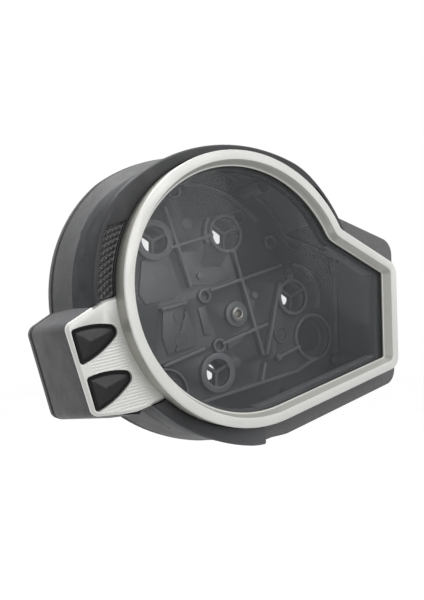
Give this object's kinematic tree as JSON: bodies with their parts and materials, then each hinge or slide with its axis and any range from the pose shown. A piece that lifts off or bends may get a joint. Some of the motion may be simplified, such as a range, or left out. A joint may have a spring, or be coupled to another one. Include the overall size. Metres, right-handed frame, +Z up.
{
  "type": "motorcycle instrument cluster housing",
  "caption": "Empty instrument cluster housing: round window with a side wing, silver bezel, deep black case, and an arm with sprung push buttons.",
  "frame": {"origin": "centre of the threaded stay insert's mouth, in the middle of the case's rear face", "axes": "+X to the rider's right, +Y away from the rider along the insert's axis and out of the case's back, +Z up; the window faces -Y"},
  "size_m": [0.1949, 0.068, 0.1556],
  "materials": {
    "black_plastic": "fine spark-eroded grain, satin",
    "silver_paint": "warm silver paint, satin",
    "clear_lens": "clear polycarbonate, slightly smoky, polished",
    "rubber": "matt",
    "steel": "zinc plated",
    "brass": "turned",
    "button_plastic": "fine grain"
  },
  "bodies": {
    "housing": {"bezel": "silver_paint", "lens": "clear_lens", "lens_gasket": "rubber", "case_gasket": "rubber", "front_case": "black_plastic", "rear_case": "black_plastic", "stay_insert": "brass", "harness_plug": "rubber", "breather_cap": "rubber", "case_screws": "steel", "guide_screws": "steel", "button_guide": "black_plastic", "left_knurled_panel": "button_plastic", "right_knurled_panel": "button_plastic", "upper_button_boot": "rubber", "lower_button_boot": "rubber"},
    "upper_button": {"upper_button": "button_plastic"},
    "lower_button": {"lower_button": "button_plastic"}
  },
  "joints": [
    {"name": "upper_button_press", "type": "slide", "parent": "housing", "child": "upper_button", "axis": [0, 1, 0], "range_m": [0, 0.002], "stiffness_N_per_m": 400, "springref_m": -0.0015, "deforming": ["upper_button_boot"]},
    {"name": "lower_button_press", "type": "slide", "parent": "housing", "child": "lower_button", "axis": [0, 1, 0], "range_m": [0, 0.002], "stiffness_N_per_m": 400, "springref_m": -0.0015, "deforming": ["lower_button_boot"]}
  ]
}
